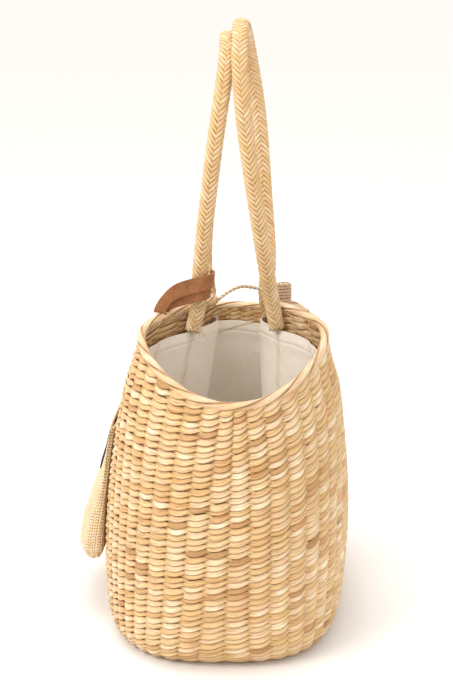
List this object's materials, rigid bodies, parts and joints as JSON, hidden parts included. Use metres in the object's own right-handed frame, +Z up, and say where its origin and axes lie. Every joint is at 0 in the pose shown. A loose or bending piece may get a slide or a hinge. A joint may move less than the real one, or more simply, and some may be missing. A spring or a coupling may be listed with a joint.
{
  "type": "straw basket bag",
  "caption": "Twined straw tote with its long walls drawn together, braided handles, cotton lining, leather strap, cord and toggle closure, and a small straw pouch outside.",
  "frame": {"origin": "centre of the flat base, on the surface that the bag stands on", "axes": "+X across the bag, away from the wall with the pouch; +Y along the bag, away from the end that the picture shows; +Z up, towards the handles"},
  "size_m": [0.2502, 0.376, 0.5377],
  "materials": {
    "straw": "twined flat straw, natural tan with paler and darker strands, satin",
    "border_straw": "smooth rolled straw, satin",
    "braid": "herringbone braided straw, satin",
    "cotton": "plain cream cotton, matt, creased",
    "suede": "saddle brown suede with darker cut edges",
    "twine": "fine twisted straw twine, matt",
    "patch_leather": "plain black leather, low sheen"
  },
  "bodies": {
    "root": {"basket_body": "straw", "rim_border": "border_straw", "lining": "cotton", "handle_left": "braid", "handle_right": "braid", "leather_strap": "suede", "closure_cord": "twine", "toggle": "twine", "side_pouch": "straw", "pouch_patch": "patch_leather", "pouch_tie_near": "straw", "pouch_tie_far": "straw"}
  },
  "joints": []
}
